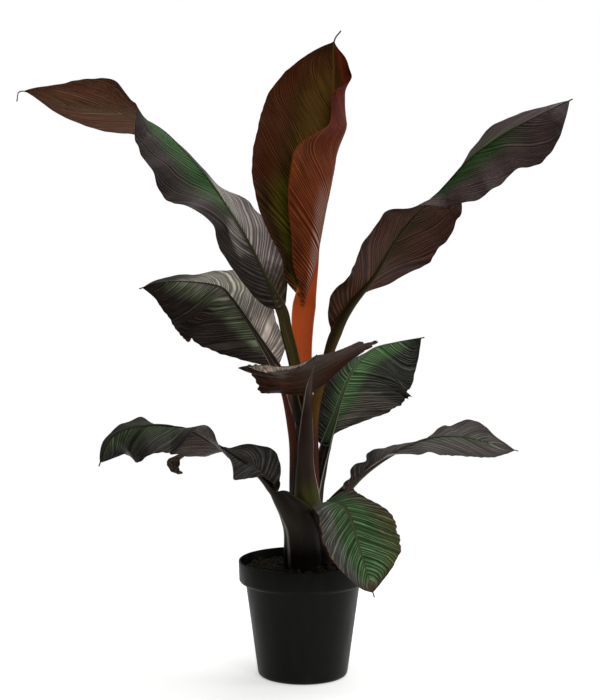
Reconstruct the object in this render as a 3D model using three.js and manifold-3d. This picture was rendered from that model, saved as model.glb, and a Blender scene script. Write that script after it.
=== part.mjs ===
// Red ornamental banana plant in a plastic nursery pot.
// Millimetres, +Z up, +X to the plant's right and -Y to its front. The origin is the centre of the pot's underside.
import * as THREE from "three";
import { mergeVertices } from "three/addons/utils/BufferGeometryUtils.js";
import Module from "manifold-3d";

const wasm = await Module();
wasm.setup();

// Driving dimensions

const CLEARANCE = 0.3; // gap left between neighbouring pieces

const POT = {
  height: 192,
  rimRadius: 105,
  bandHeight: 34, // the upright band round the mouth
  bandSlope: 4, // height over which the band runs in to the body
  bodyRadius: 93.5, // just below the band
  footRadius: 73,
  footRound: 7,
  rimBevel: 1, // the slight lean and bevel of the band
  wall: 2.5,
  floor: 4,
  floorRound: 4, // the inside corner round the floor
  segments: 48,
  drainHoles: 8,
  drainRadius: 6,
  drainRing: 52, // radius of the ring of drain holes
};

const SOIL = {
  wallHeight: 176,
  crownHeight: 181,
  crownRadius: 46,
  settle: 0.5, // drawn in from the wall, and four times as far from the band
};

// The false stem is a column of rolled leaf sheaths.
// Its profile is [height above the soil, radius] from its root flare to its fork.
const STEM = {
  profile: [
    [0, 33],
    [14, 29.5],
    [50, 26],
    [110, 24],
    [180, 22.5],
    [232, 20],
    [262, 13],
  ],
  leanX: 0.022, // sideways and backward drift for each unit of height
  leanY: 0.025,
  segments: 20,
};

// Leaf rule
const SPINE_STEPS = 160; // steps along each leaf's centre line
const STALK_ROWS = 9;
const STALK_COLUMNS = 9;
const STALK_WRAP = THREE.MathUtils.degToRad(100); // how far the stalk's back wraps to either side of its keel
const STALK_CHANNEL = { width: 0.72, depth: 0.2 }; // the channel on its upper side, as shares of its half width
const BLADE_ROWS = 22;
const BLADE_COLUMNS = [-1, -0.72, -0.42, -0.13, 0, 0.13, 0.42, 0.72, 1];
const BLADE_THICKNESS_SHARE = 0.01; // of the blade's length
const RIB_KEEL_SHARE = 0.9; // depth of the rib under the blade's foot, for each unit of the stalk's half width
const TAIL_HALF_WIDTH = 1.5; // the wiry thread that ends a blade
const CURL_STEPS = 8; // steps in which a blade is followed from its rib to its margin

// Each leaf grows along a smooth centre line, from inside the stem to its tip.
// A station is [x, y, z, left, right, curlLeft, curlRight, early]. left and right are the degrees that each half
// of the blade is turned about the centre line, from lying square to the facing direction: positive turns carry
// the right half backwards and the left half forwards. The curls, if any, are the further turn between the rib
// and the margin, even across the half where early is 1 and nearer to the rib where it is larger.
// A nick is [side, place, depth, width], a dip in the left (0) or right (1) margin: its depth is a share of the
// half width, its place and width are shares of the blade's length, and a negative depth makes a lobe.
const LEAVES = [
  {
    name: "crown",
    facing: [0, -1, 0],
    stations: [
      [5, 6, 389, 0, 0],
      [1, 10, 496, 0, 0],
      [-1, 14, 560, 0, 0],
      [2, 18, 608, 0, 0, 10, -175, 3],
      [15, 20, 682, 0, 0, 15, -175, 3],
      [25, 22, 760, 0, 0, 15, -175, 3],
      [37, 24, 844, 0, 8, 15, -180, 3],
      [46, 22, 908, 0, 25, 15, -210, 1.2],
      [48, 20, 950, 0, 15, 13, -215, 1],
      [49, 17, 985, 0, 10, 10, -90, 1],
      [50, 14, 1032, 0, -20],
      [61, 10, 1050, 0, -20],
    ],
    bladeFrom: 3,
    halfWidth: [122, 112],
    widest: 0.57,
    footPower: 1.3,
    tipPower: 3.8,
    stalkHalf: [14, 14, 19],
    tail: 22,
    nicks: [
      [1, 0.72, 0.42, 0.1],
      [1, 0.88, 0.5, 0.1],
      [1, 0.94, 0.4, 0.03],
      [1, 0.1, -0.5, 0.09],
      [0, 0.7, 0.05, 0.15],
      [0, 0.83, 0.06, 0.06],
      [0, 0.05, -0.9, 0.06],
    ],
    wave: { depth: 0, count: 3 },
  },
  {
    name: "upper_left",
    facing: [0, -1, 0],
    stations: [
      [0, -2, 424, 90, 90],
      [-10, -9, 506, 50, 50],
      [-26, -8, 571, 40, 40],
      [-34, -2, 603, 10, 50, 55],
      [-60, 12, 655, 10, 45, 60],
      [-91, 34, 714, 15, 38, 55],
      [-126, 62, 769, 46, 60],
      [-159, 88, 815, 10, 78],
      [-196, 112, 855, 36, 75],
      [-232, 130, 889, 52, 85],
      [-271, 142, 909, 92, 102],
      [-330, 148, 921, 126, 106],
      [-395, 150, 931, 152, 104],
      [-465, 150, 953, 160, 100],
      [-476, 150, 936, 160, 100],
    ],
    bladeFrom: 3,
    halfWidth: [80, 78],
    widest: 0.5,
    footPower: 0.4,
    tipPower: 2.5,
    stalkHalf: [16, 11, 10],
    tail: 24,
    nicks: [
      [1, 0, 0.3, 0.05],
      [0, 0.26, 0.35, 0.055],
      [1, 0.45, 0.35, 0.12],
    ],
    wave: { depth: 5, count: 3 },
  },
  {
    name: "upper_right",
    facing: [0, -1, 0],
    stations: [
      [11, -3, 312, 270, 270],
      [13, -2, 430, 270, 270],
      [31, -4, 509, 262, 262],
      [52, -10, 567, 255, 205],
      [76, -18, 611, 250, 210],
      [114, -32, 661, 232, 232],
      [146, -48, 718, 195, 236],
      [170, -58, 750, 195, 220],
      [197, -72, 780, 215, 243],
      [224, -86, 809, 258, 290],
      [257, -100, 847, 268, 304],
      [296, -112, 878, 271, 324],
      [336, -122, 903, 273, 348],
      [414, -140, 943, 271, 360],
    ],
    bladeFrom: 3,
    halfWidth: [77, 90],
    widest: 0.6,
    footPower: 0.6,
    tipPower: 3.4,
    stalkHalf: [16, 13, 11],
    tail: 5,
    nicks: [
      [0, 0.07, 1, 0.1],
      [0, 0.22, -0.2, 0.08],
      [1, 0.4, 0.25, 0.06],
      [1, 0.51, 0.5, 0.07],
      [1, 0.76, 0.3, 0.07],
    ],
    wave: { depth: 6, count: 3 },
  },
  {
    name: "mid_left",
    facing: [0, -1, 0],
    stations: [
      [-6, 4, 296, 90, 90],
      [-9, 8, 390, 90, 90],
      [-23, 22, 461, 70, 70],
      [-41, 36, 499, 20, 35],
      [-67, 52, 541, 5, 36],
      [-95, 70, 582, 0, 46],
      [-119, 86, 614, 0, 47],
      [-139, 100, 631, 0, 44],
      [-190, 126, 637, 0, 49],
      [-239, 142, 634, 0, 44],
      [-275, 150, 623, 10, 40],
    ],
    bladeFrom: 3,
    halfWidth: [106, 85],
    widest: 0.58,
    footPower: 1.1,
    tipPower: 1.8,
    stalkHalf: [16, 14, 10],
    tail: 6,
    nicks: [
      [1, 0.08, -0.6, 0.08],
    ],
    wave: { depth: 4, count: 3 },
  },
  {
    name: "mid_right",
    facing: [0, -1, 0],
    stations: [
      [14, 0, 275, -60, -60],
      [25, 10, 331, -50, -50],
      [36, 18, 374, -40, -30],
      [51, 30, 417, -55, -5],
      [63, 48, 452, -52, 0],
      [76, 66, 482, -50, 0],
      [92, 86, 507, -60, 0],
      [118, 106, 527, -72, 0],
      [156, 126, 535, -75, 5],
      [205, 148, 541, -75, 10],
    ],
    bladeFrom: 2,
    halfWidth: [82, 104],
    widest: 0.62,
    footPower: 0.6,
    tipPower: 2.4,
    stalkHalf: [17, 13, 10],
    tail: 6,
    nicks: [
      [1, 0, 1, 0.2],
    ],
    wave: { depth: 2, count: 3 },
  },
  {
    name: "front",
    facing: [0, 1, 0],
    stations: [
      [8, -12, 280, 0, 0],
      [4, -29, 352, 0, 0],
      [6, -37, 425, 0, 0],
      [8, -48, 470, 36, 18],
      [12, -84, 502, 32, 26, 0, -10],
      [16, -150, 527, 27, 26, 0, -52],
      [18, -225, 549, 24, 48, 0, -76],
      [20, -300, 567, 20, 62, 0, -60],
    ],
    bladeFrom: 3,
    halfWidth: [106, 104],
    widest: 0.45,
    footPower: 0.6,
    tipPower: 2,
    stalkHalf: [22, 13, 7],
    tail: 6,
    nicks: [
      [1, 0.37, -0.2, 0.025],
      [1, 0.28, 0.06, 0.05],
    ],
    wave: { depth: 4, count: 3 },
  },
  {
    name: "low_right",
    facing: [0, -1, 0],
    stations: [
      [4, 4, 225, -90, -90],
      [36, 14, 276, -90, -90],
      [66, 26, 302, -60, -88],
      [94, 40, 325, -55, -95],
      [127, 56, 345, -58, -95],
      [172, 78, 366, -76, -65],
      [216, 98, 378, -88, -46],
      [262, 114, 377, -60, -44],
      [308, 130, 365, -30, -45],
      [365, 148, 347, -40, -50],
    ],
    bladeFrom: 2,
    halfWidth: [58, 56],
    widest: 0.7,
    footPower: 0.6,
    tipPower: 2,
    stalkHalf: [19, 14, 12],
    tail: 6,
    nicks: [
      [0, 0.07, 0.5, 0.025],
      [0, 0.19, 0.4, 0.025],
      [0, 0.9, 0.3, 0.08],
    ],
    wave: { depth: 0.5, count: 4 },
  },
  {
    name: "low_front",
    facing: [-0.4, 1, 0.3],
    stations: [
      [24, 0, 192, 0, 0],
      [25, -22, 256, 0, 0],
      [28, -48, 290, 15, 0],
      [37, -70, 301, 26, 0],
      [60, -118, 306, 20, 0],
      [74, -140, 290, 8, 0],
      [86, -153, 252, 0, 0],
      [98, -158, 212, 0, 0],
      [112, -158, 166, 0, 0],
    ],
    bladeFrom: 3,
    halfWidth: [77, 58],
    widest: 0.58,
    footPower: 0.5,
    tipPower: 3,
    stalkHalf: [18, 17, 9],
    tail: 8,
    nicks: [
      [0, 0.26, 0.42, 0.15],
      [1, 0.82, 0.3, 0.14],
    ],
    wave: { depth: 3, count: 3 },
  },
  {
    name: "low_left",
    facing: [0, -1, 0],
    stations: [
      [0, -14, 191, 165, 165],
      [-5, -30, 262, 157, 157],
      [-32, -36, 304, 138, 138],
      [-46, -38, 323, 110, 14],
      [-76, -52, 355, 76, 20],
      [-104, -66, 375, 64, 108],
      [-135, -82, 394, 103, 146],
      [-180, -102, 422, 132, 162],
      [-215, -115, 432, 74, 130],
      [-248, -124, 433, 72, 100],
      [-283, -134, 427, 40, 97],
      [-306, -140, 408, 0, 100],
      [-319, -144, 372, 0, 100],
    ],
    bladeFrom: 3,
    halfWidth: [58, 63],
    widest: 0.6,
    footPower: 0.4,
    tipPower: 5.5,
    stalkHalf: [31, 29, 15],
    tail: 6,
    nicks: [
      [0, 0, 0.9, 0.13],
      [1, 0.85, 0.7, 0.2],
      [1, 0.17, 0.3, 0.04],
      [1, 0.3, 0.2, 0.05],
    ],
    wave: { depth: 0.5, count: 4 },
  },
];

// Materials

const material = (color, roughness) => new THREE.MeshStandardMaterial({ color, roughness, metalness: 0 });
const POT_PLASTIC = material(0x1f1f1d, 0.55);
const PEAT = material(0x1d140e, 0.95);
const SHEATH = material(0x4a3a24, 0.5);
const STALK = material(0x3a2420, 0.45);
const BLADE = material(0x2c2a26, 0.45);
const CROWN_STALK = material(0x9a3c18, 0.45);
const CROWN_BLADE = material(0x5a2c18, 0.45);

// Solids

// A geometry as a solid for cutting and joining: only its positions, with shared vertices merged.
function toSolid(geometry) {
  const plain = geometry.clone();
  for (const name of ["normal", "uv"]) plain.deleteAttribute(name);
  const merged = mergeVertices(plain, 1e-3);
  return new wasm.Manifold(
    new wasm.Mesh({
      numProp: 3,
      vertProperties: new Float32Array(merged.attributes.position.array),
      triVerts: new Uint32Array(merged.index.array),
    }),
  );
}

function toGeometry(solid) {
  const { vertProperties, triVerts, numProp, numVert } = solid.getMesh();
  const position = new Float32Array(numVert * 3);
  for (let i = 0; i < numVert; i++) position.set(vertProperties.subarray(i * numProp, i * numProp + 3), i * 3);
  return new THREE.BufferGeometry()
    .setAttribute("position", new THREE.BufferAttribute(position, 3))
    .setIndex(new THREE.BufferAttribute(new Uint32Array(triVerts), 1));
}

// Cutting can leave loose scraps: only the largest body is kept.
const largestBody = (solid) => solid.decompose().reduce((a, b) => (b.volume() > a.volume() ? b : a));

function namedMesh(name, geometry, surface) {
  const mesh = new THREE.Mesh(geometry, surface);
  mesh.name = name;
  return mesh;
}

// A closed solid between two surfaces. upper and under give the point at a row along it and a column across it.
function sheetSolid(rows, columns, upper, under) {
  const position = [];
  const index = [];
  for (const surface of [upper, under])
    for (let row = 0; row < rows; row++)
      for (let column = 0; column < columns; column++) position.push(...surface(row, column).toArray());
  const at = (side, row, column) => (side * rows + row) * columns + column;
  const up = (row, column) => at(0, row, column);
  const down = (row, column) => at(1, row, column);
  const quad = (a, b, c, d) => index.push(a, b, c, a, c, d);
  const right = columns - 1;
  const end = rows - 1;
  for (let r = 0; r < end; r++) {
    for (let c = 0; c < right; c++) {
      quad(up(r, c), up(r, c + 1), up(r + 1, c + 1), up(r + 1, c));
      quad(down(r, c), down(r + 1, c), down(r + 1, c + 1), down(r, c + 1));
    }
    quad(down(r, 0), up(r, 0), up(r + 1, 0), down(r + 1, 0));
    quad(up(r, right), down(r, right), down(r + 1, right), up(r + 1, right));
  }
  for (let c = 0; c < right; c++) {
    quad(down(0, c), down(0, c + 1), up(0, c + 1), up(0, c));
    quad(down(end, c + 1), down(end, c), up(end, c), up(end, c + 1));
  }
  return new THREE.BufferGeometry()
    .setAttribute("position", new THREE.BufferAttribute(new Float32Array(position), 3))
    .setIndex(index);
}

// Leaves

const lerp = THREE.MathUtils.lerp;
const radians = THREE.MathUtils.degToRad;

// Smooth value at a fractional station, through the listed ones.
function along(values, station) {
  const low = Math.min(Math.floor(station), values.length - 2);
  const share = THREE.MathUtils.smoothstep(station - low, 0, 1);
  return lerp(values[low], values[low + 1], share);
}

// The centre line of a leaf as closely spaced frames, each with its point, its tangent and the facing direction
// carried along without twist.
function spineOf(leaf) {
  const curve = new THREE.CatmullRomCurve3(
    leaf.stations.map(([x, y, z]) => new THREE.Vector3(x, y, z)),
    false,
    "catmullrom",
    0.5,
  );
  const frames = [];
  let facing = new THREE.Vector3(...leaf.facing);
  let length = 0;
  for (let i = 0; i <= SPINE_STEPS; i++) {
    const t = i / SPINE_STEPS;
    const point = curve.getPoint(t);
    const tangent = curve.getTangent(t);
    facing = facing.clone().addScaledVector(tangent, -facing.dot(tangent)).normalize();
    if (i > 0) length += point.distanceTo(frames[i - 1].point);
    frames.push({ point, tangent, facing, length, station: t * (leaf.stations.length - 1) });
  }
  return frames;
}

// The frame at a length along the spine.
function frameAt(spine, length) {
  let i = 1;
  while (i < spine.length - 1 && spine[i].length < length) i++;
  const [a, b] = [spine[i - 1], spine[i]];
  const share = (length - a.length) / (b.length - a.length);
  const tangent = a.tangent.clone().lerp(b.tangent, share).normalize();
  const facing = a.facing.clone().lerp(b.facing, share);
  facing.addScaledVector(tangent, -facing.dot(tangent)).normalize();
  return {
    point: a.point.clone().lerp(b.point, share),
    tangent,
    facing,
    side: tangent.clone().cross(facing),
    station: lerp(a.station, b.station, share),
  };
}

const bladeStart = (leaf, spine) => spine.find((frame) => frame.station >= leaf.bladeFrom).length;

// The directions across and out of the upper face at an angle turned about the centre line.
function turned(frame, angle) {
  const across = frame.side.clone().multiplyScalar(Math.cos(angle)).addScaledVector(frame.facing, -Math.sin(angle));
  const out = frame.facing.clone().multiplyScalar(Math.cos(angle)).addScaledVector(frame.side, Math.sin(angle));
  return { across, out };
}

// A stalk is a tapering limb with a round back and a channel along its upper side.
function stalkGeometry(leaf, spine, grow) {
  const end = bladeStart(leaf, spine) - CLEARANCE;
  const rolls = leaf.stations.map(([, , , left, right]) => (left + right) / 2);
  const sections = Array.from({ length: STALK_ROWS }, (_, row) => {
    const share = row / (STALK_ROWS - 1);
    const frame = frameAt(spine, share * end);
    if (share === 0) frame.point.addScaledVector(frame.tangent, -grow);
    if (share === 1) frame.point.addScaledVector(frame.tangent, grow);
    return {
      ...frame,
      ...turned(frame, radians(along(rolls, frame.station))),
      half: along(leaf.stalkHalf, share * 2) + grow,
    };
  });
  const place = (row, column, width, depth, inset) => {
    const { point, across, out, half } = sections[row];
    const wrap = (STALK_WRAP + (2 * grow) / half) * ((2 * column) / (STALK_COLUMNS - 1) - 1);
    return point
      .clone()
      .addScaledVector(across, (half * width - 2 * inset) * Math.sin(wrap))
      .addScaledVector(out, inset - half * depth * Math.cos(wrap));
  };
  return sheetSolid(
    STALK_ROWS,
    STALK_COLUMNS,
    (row, column) => place(row, column, STALK_CHANNEL.width, STALK_CHANNEL.depth, grow),
    (row, column) => place(row, column, 1, 1, 0),
  );
}

// Half width of a blade on one side, at a share of its length: round at its foot, pointed and ended by a thread, with
// the nicks in its margin.
function bladeHalfWidth(leaf, side, share, bladeLength) {
  const proper = Math.min(share / (1 - leaf.tail / bladeLength), 1);
  const lance =
    proper < leaf.widest
      ? (1 - (1 - proper / leaf.widest) ** 2) ** leaf.footPower
      : 1 - ((proper - leaf.widest) / (1 - leaf.widest)) ** leaf.tipPower;
  let half = leaf.halfWidth[side] * lance;
  for (const [nickSide, place, depth, width] of leaf.nicks ?? []) {
    if (nickSide === side) half *= 1 - depth * Math.exp(-(((share - place) / width) ** 2));
  }
  return Math.max(half, leaf.stalkHalf[2] * (1 - share), TAIL_HALF_WIDTH);
}

// Middle surface of a blade at a share of its length and a place across it, from -1 at the left margin to 1 at the
// right. It is followed outwards from the rib in short steps, turning with the curl.
function bladePoint(leaf, spine, share, across) {
  const start = bladeStart(leaf, spine);
  const bladeLength = spine[spine.length - 1].length - start;
  const frame = frameAt(spine, start + share * bladeLength);
  const side = across > 0 ? 1 : 0;
  const reach = Math.abs(across);
  const half = bladeHalfWidth(leaf, side, share, bladeLength);
  const value = (place, unset) => along(leaf.stations.map((station) => station[place] ?? unset), frame.station);
  const roll = radians(value(3 + side));
  const curl = radians(value(5 + side, 0));
  const early = value(7, 1);
  const point = frame.point.clone();
  let out = frame.facing;
  for (let i = 0; i < CURL_STEPS; i++) {
    const place = (reach * (i + 0.5)) / CURL_STEPS;
    const turn = turned(frame, roll + curl * (1 - (1 - place) ** early));
    point.addScaledVector(turn.across, (Math.sign(across) * half * reach) / CURL_STEPS);
    out = turn.out;
  }
  const { depth, count } = leaf.wave;
  const ripple = Math.sin(2 * Math.PI * (count * share + 0.3 * side));
  return point.addScaledVector(out, depth * reach ** 2 * ripple * Math.sin(Math.PI * share));
}

// A blade is a thin sheet with its rib as a keel under its middle.
function bladeGeometry(leaf, spine) {
  const bladeLength = spine[spine.length - 1].length - bladeStart(leaf, spine);
  const foot = frameAt(spine, bladeStart(leaf, spine)).tangent;
  const thickness = bladeLength * BLADE_THICKNESS_SHARE;
  const columns = BLADE_COLUMNS.length;
  const shareOf = (row) => row / (BLADE_ROWS - 1);
  const grid = Array.from({ length: BLADE_ROWS }, (_, row) =>
    BLADE_COLUMNS.map((across) => bladePoint(leaf, spine, shareOf(row), across)),
  );
  const normal = (row, column) => {
    const lengthways = grid[Math.min(row + 1, BLADE_ROWS - 1)][column]
      .clone()
      .sub(grid[Math.max(row - 1, 0)][column]);
    const sideways = grid[row][Math.min(column + 1, columns - 1)].clone().sub(grid[row][Math.max(column - 1, 0)]);
    const out = sideways.cross(lengthways);
    if (row === 0) out.addScaledVector(foot, -out.dot(foot));
    return out.normalize();
  };
  const face = (row, column, height) => grid[row][column].clone().addScaledVector(normal(row, column), height);
  const keel = (row, column) =>
    BLADE_COLUMNS[column] === 0 ? leaf.stalkHalf[2] * RIB_KEEL_SHARE * (1 - shareOf(row)) : 0;
  return sheetSolid(
    BLADE_ROWS,
    columns,
    (row, column) => face(row, column, thickness / 2),
    (row, column) => face(row, column, -thickness / 2 - keel(row, column)),
  );
}

// Pot, soil and stem

function potSolid() {
  const { height, rimRadius, bodyRadius, footRadius, footRound, rimBevel, wall, floor, floorRound } = POT;
  const bandFoot = height - POT.bandHeight;
  const bodyTop = bandFoot - POT.bandSlope;
  const lean = (bodyRadius - footRadius) / bodyTop;
  const outline = new THREE.Path()
    .moveTo(0, 0)
    .lineTo(footRadius - footRound, 0)
    .quadraticCurveTo(footRadius, 0, footRadius + footRound * lean, footRound)
    .lineTo(bodyRadius, bodyTop)
    .quadraticCurveTo(rimRadius - rimBevel, bodyTop + rimBevel, rimRadius - rimBevel, bandFoot)
    .lineTo(rimRadius, height - 2 * rimBevel)
    .lineTo(rimRadius - rimBevel, height)
    .lineTo(rimRadius - wall, height)
    .lineTo(rimRadius - wall - rimBevel, bandFoot + 2 * rimBevel)
    .lineTo(bodyRadius - wall, bodyTop)
    .lineTo(footRadius - wall, floor + floorRound)
    .lineTo(footRadius - wall - floorRound, floor)
    .lineTo(0, floor);
  const shell = toSolid(new THREE.LatheGeometry(outline.getPoints(3), POT.segments).rotateX(Math.PI / 2));
  const hole = new THREE.CylinderGeometry(POT.drainRadius, POT.drainRadius, floor * 3, 10).rotateX(Math.PI / 2);
  const holes = Array.from({ length: POT.drainHoles }, (_, i) => {
    const turn = (2 * Math.PI * (i + 0.5)) / POT.drainHoles;
    return toSolid(
      hole.clone().translate(POT.drainRing * Math.cos(turn), POT.drainRing * Math.sin(turn), 0),
    );
  });
  return holes.reduce((left, drain) => left.subtract(drain), shell);
}

function soilGeometry() {
  const { floor, floorRound } = POT;
  const bandFoot = POT.height - POT.bandHeight;
  const inside = POT.wall + CLEARANCE;
  const footRadius = POT.footRadius - inside;
  const bandRadius = POT.rimRadius - inside - 4 * SOIL.settle;
  const outline = new THREE.Path()
    .moveTo(0, floor + CLEARANCE)
    .lineTo(footRadius - floorRound - 2 * SOIL.settle, floor + CLEARANCE)
    .lineTo(footRadius - SOIL.settle, floor + floorRound + 2 * SOIL.settle)
    .lineTo(POT.bodyRadius - inside - SOIL.settle, bandFoot - POT.bandSlope)
    .lineTo(bandRadius, bandFoot + 3 * POT.rimBevel)
    .lineTo(bandRadius, SOIL.wallHeight)
    .lineTo(SOIL.crownRadius, SOIL.crownHeight)
    .lineTo(0, SOIL.crownHeight);
  return new THREE.LatheGeometry(outline.getPoints(), POT.segments).rotateX(Math.PI / 2);
}

function stemGeometry(grow) {
  const foot = SOIL.crownHeight + CLEARANCE;
  const last = STEM.profile.length - 1;
  const rise = ([height], i) => foot + height + (i === 0 ? -grow : i === last ? grow : 0);
  const ring = (station, i) => new THREE.Vector2(station[1] + grow, rise(station, i));
  const outline = [
    new THREE.Vector2(0, foot - grow),
    ...STEM.profile.map(ring),
    new THREE.Vector2(0, rise(STEM.profile[last], last)),
  ];
  const column = new THREE.LatheGeometry(outline, STEM.segments).rotateX(Math.PI / 2);
  const position = column.attributes.position;
  for (let i = 0; i < position.count; i++) {
    const height = position.getZ(i) - foot;
    position.setX(i, position.getX(i) + STEM.leanX * height);
    position.setY(i, position.getY(i) + STEM.leanY * height);
  }
  return column;
}

// Assembly

const plant = new THREE.Group();
plant.add(namedMesh("pot", toGeometry(potSolid()), POT_PLASTIC));
plant.add(namedMesh("soil", soilGeometry(), PEAT));
plant.add(namedMesh("stem", stemGeometry(0), SHEATH));

// Inner leaves come first in the list: each stalk is cut clear of the stem and of the stalks inside it.
const inside = [toSolid(stemGeometry(CLEARANCE))];
for (const leaf of LEAVES) {
  const spine = spineOf(leaf);
  const stalk = inside.reduce((left, inner) => left.subtract(inner), toSolid(stalkGeometry(leaf, spine, 0)));
  inside.push(toSolid(stalkGeometry(leaf, spine, CLEARANCE)));
  const young = leaf.name === "crown";
  plant.add(namedMesh(`${leaf.name}_stalk`, toGeometry(largestBody(stalk)), young ? CROWN_STALK : STALK));
  plant.add(namedMesh(`${leaf.name}_blade`, bladeGeometry(leaf, spine), young ? CROWN_BLADE : BLADE));
}

export default plant;
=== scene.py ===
# Red ornamental banana plant in a black nursery pot. Sizes are in millimetres and become metres in each mesh.
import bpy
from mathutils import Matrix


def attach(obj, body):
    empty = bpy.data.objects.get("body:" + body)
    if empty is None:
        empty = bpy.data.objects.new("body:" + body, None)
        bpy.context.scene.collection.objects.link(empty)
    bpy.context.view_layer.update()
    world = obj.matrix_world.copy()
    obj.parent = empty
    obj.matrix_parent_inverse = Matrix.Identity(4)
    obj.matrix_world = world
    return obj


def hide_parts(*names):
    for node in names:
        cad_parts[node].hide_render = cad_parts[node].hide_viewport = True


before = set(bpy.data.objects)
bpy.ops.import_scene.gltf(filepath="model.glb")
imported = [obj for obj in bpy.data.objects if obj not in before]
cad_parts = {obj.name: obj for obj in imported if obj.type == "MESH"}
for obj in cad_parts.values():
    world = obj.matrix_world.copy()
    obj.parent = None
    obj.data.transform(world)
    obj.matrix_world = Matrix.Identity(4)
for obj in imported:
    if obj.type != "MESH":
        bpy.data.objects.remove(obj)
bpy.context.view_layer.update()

from math import cos, pi, radians, sin
from types import SimpleNamespace

import bpy
import numpy as np
from mathutils import Vector, noise

# Studio. The plant stands on a pale floor in even white light, with large soft lights above and in front of
# it and smaller ones to its right and left. The room is a little brighter to the right. The camera is a long
# lens 3.6 m in front of the pot, about level with the upper leaves and tilted down a little.
CAMERA_PLACE = (-0.0046, -3.6, 0.977)  # metres, as are the lights' places and sizes
CAMERA_TILT = 6.955  # degrees below level
CAMERA_LENS, CAMERA_SENSOR = 115.2, 36
FLOOR_RADIUS, FLOOR_HEIGHT, FLOOR_SIDES = 950, -0.5, 120
LIGHTS_AIM = Vector((0, 0, 0.55))
SOFT_LIGHTS = (  # name, place, size, power
    ("soft_light_above", (0.4, 0.5, 3.2), 2.6, 50),
    ("soft_light_front", (0.8, -3.4, 2.6), 2.4, 55),
    ("soft_light_right", (2.6, -0.5, 1.3), 1.4, 22),
    ("soft_light_left", (-2.8, -0.4, 1.5), 1.4, 2),
)

scene = bpy.context.scene
scene.view_settings.view_transform = "Standard"


def shade(hexcode):
    """A colour written as on a paint card, as linear light."""
    parts = [int(hexcode[i : i + 2], 16) / 255 for i in (0, 2, 4)]
    return [p / 12.92 if p < 0.04045 else ((p + 0.055) / 1.055) ** 2.4 for p in parts] + [1.0]


def wire(tree):
    """Short ways to add nodes to a tree: any kind, arithmetic, a product and a smooth ramp."""

    def add(kind, inputs=None, **settings):
        made = tree.nodes.new(kind)
        for key, value in settings.items():
            setattr(made, key, value)
        for socket, value in (inputs or {}).items():
            if isinstance(value, bpy.types.NodeSocket):
                tree.links.new(value, made.inputs[socket])
            else:
                made.inputs[socket].default_value = value
        return made

    def calc(operation, *values):
        return add("ShaderNodeMath", dict(enumerate(values)), operation=operation).outputs[0]

    def times(first, second):
        return calc("MULTIPLY", first, second)

    def ease(value, low, high, start=0.0, end=1.0):
        inputs = {0: value, 1: low, 2: high, 3: start, 4: end}
        return add("ShaderNodeMapRange", inputs, interpolation_type="SMOOTHSTEP").outputs[0]

    return add, calc, times, ease


def new_finish(name, specular):
    """An empty finish with its shader, and short ways to lay colours, patterns and relief on it."""
    material = bpy.data.materials.new(name)
    material.use_nodes = True
    tree = material.node_tree
    add, calc, times, ease = wire(tree)
    shader = tree.nodes["Principled BSDF"]
    shader.inputs["Specular IOR Level"].default_value = specular
    place = add("ShaderNodeTexCoord").outputs["Object"]

    def blend(under, over, share):
        mixed = add("ShaderNodeMix", {0: share, 6: under, 7: over}, data_type="RGBA")
        return mixed.outputs[2]

    def mottle(scale, detail=3.0, at=None):
        cloud = add("ShaderNodeTexNoise", {"Vector": at or place, "Scale": scale, "Detail": detail})
        return cloud.outputs[0]

    def marked(attribute):
        return add("ShaderNodeAttribute", attribute_name=attribute).outputs["Fac"]

    def at(x, y, z=0.0):
        return add("ShaderNodeCombineXYZ", {0: x, 1: y, 2: z}).outputs[0]

    def lay(colour, roughness, relief=None, depth=0.0005):
        tree.links.new(colour, shader.inputs["Base Color"])
        tree.links.new(roughness, shader.inputs["Roughness"])
        if relief:
            bump = add("ShaderNodeBump", {"Height": relief, "Strength": 0.6, "Distance": depth})
            tree.links.new(bump.outputs[0], shader.inputs["Normal"])
        return material

    return SimpleNamespace(
        shader=shader, place=place, add=add, calc=calc, times=times, ease=ease, blend=blend, mottle=mottle,
        marked=marked, at=at, lay=lay,
    )


def new_piece(name, points, faces, finishes=(), sharp=50):
    """A mesh object at the origin, smooth apart from edges sharper than an angle."""
    mesh = bpy.data.meshes.new(name)
    mesh.from_pydata([(x / 1000, y / 1000, z / 1000) for x, y, z in points], [], faces)
    mesh.polygons.foreach_set("use_smooth", [True] * len(mesh.polygons))
    mesh.set_sharp_from_angle(angle=radians(sharp))
    for finish in finishes:
        mesh.materials.append(finish)
    piece = bpy.data.objects.new(name, mesh)
    scene.collection.objects.link(piece)
    return piece


camera = bpy.data.objects.new("photo_camera", bpy.data.cameras.new("photo_camera"))
camera.location = CAMERA_PLACE
camera.rotation_euler = (radians(90 - CAMERA_TILT), 0, 0)
camera.data.lens = CAMERA_LENS
camera.data.sensor_width = CAMERA_SENSOR
scene.collection.objects.link(camera)
scene.camera = camera

floor_points = []
for side in range(FLOOR_SIDES):
    turn = 2 * pi * side / FLOOR_SIDES
    floor_points.append((FLOOR_RADIUS * cos(turn), FLOOR_RADIUS * sin(turn), FLOOR_HEIGHT))
paint = new_finish("pale_floor_paint", specular=0.1)
paint.shader.inputs["Emission Color"].default_value = (1, 1, 1, 1)
paint.shader.inputs["Emission Strength"].default_value = 0.5
paint_colour = paint.blend(shade("f6f6f4"), shade("fafaf9"), paint.mottle(3))
floor_finish = paint.lay(paint_colour, paint.ease(paint.mottle(8), 0.3, 0.7, 0.75, 0.9))
floor = new_piece("pale_floor", floor_points, [tuple(range(FLOOR_SIDES))], [floor_finish])

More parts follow.
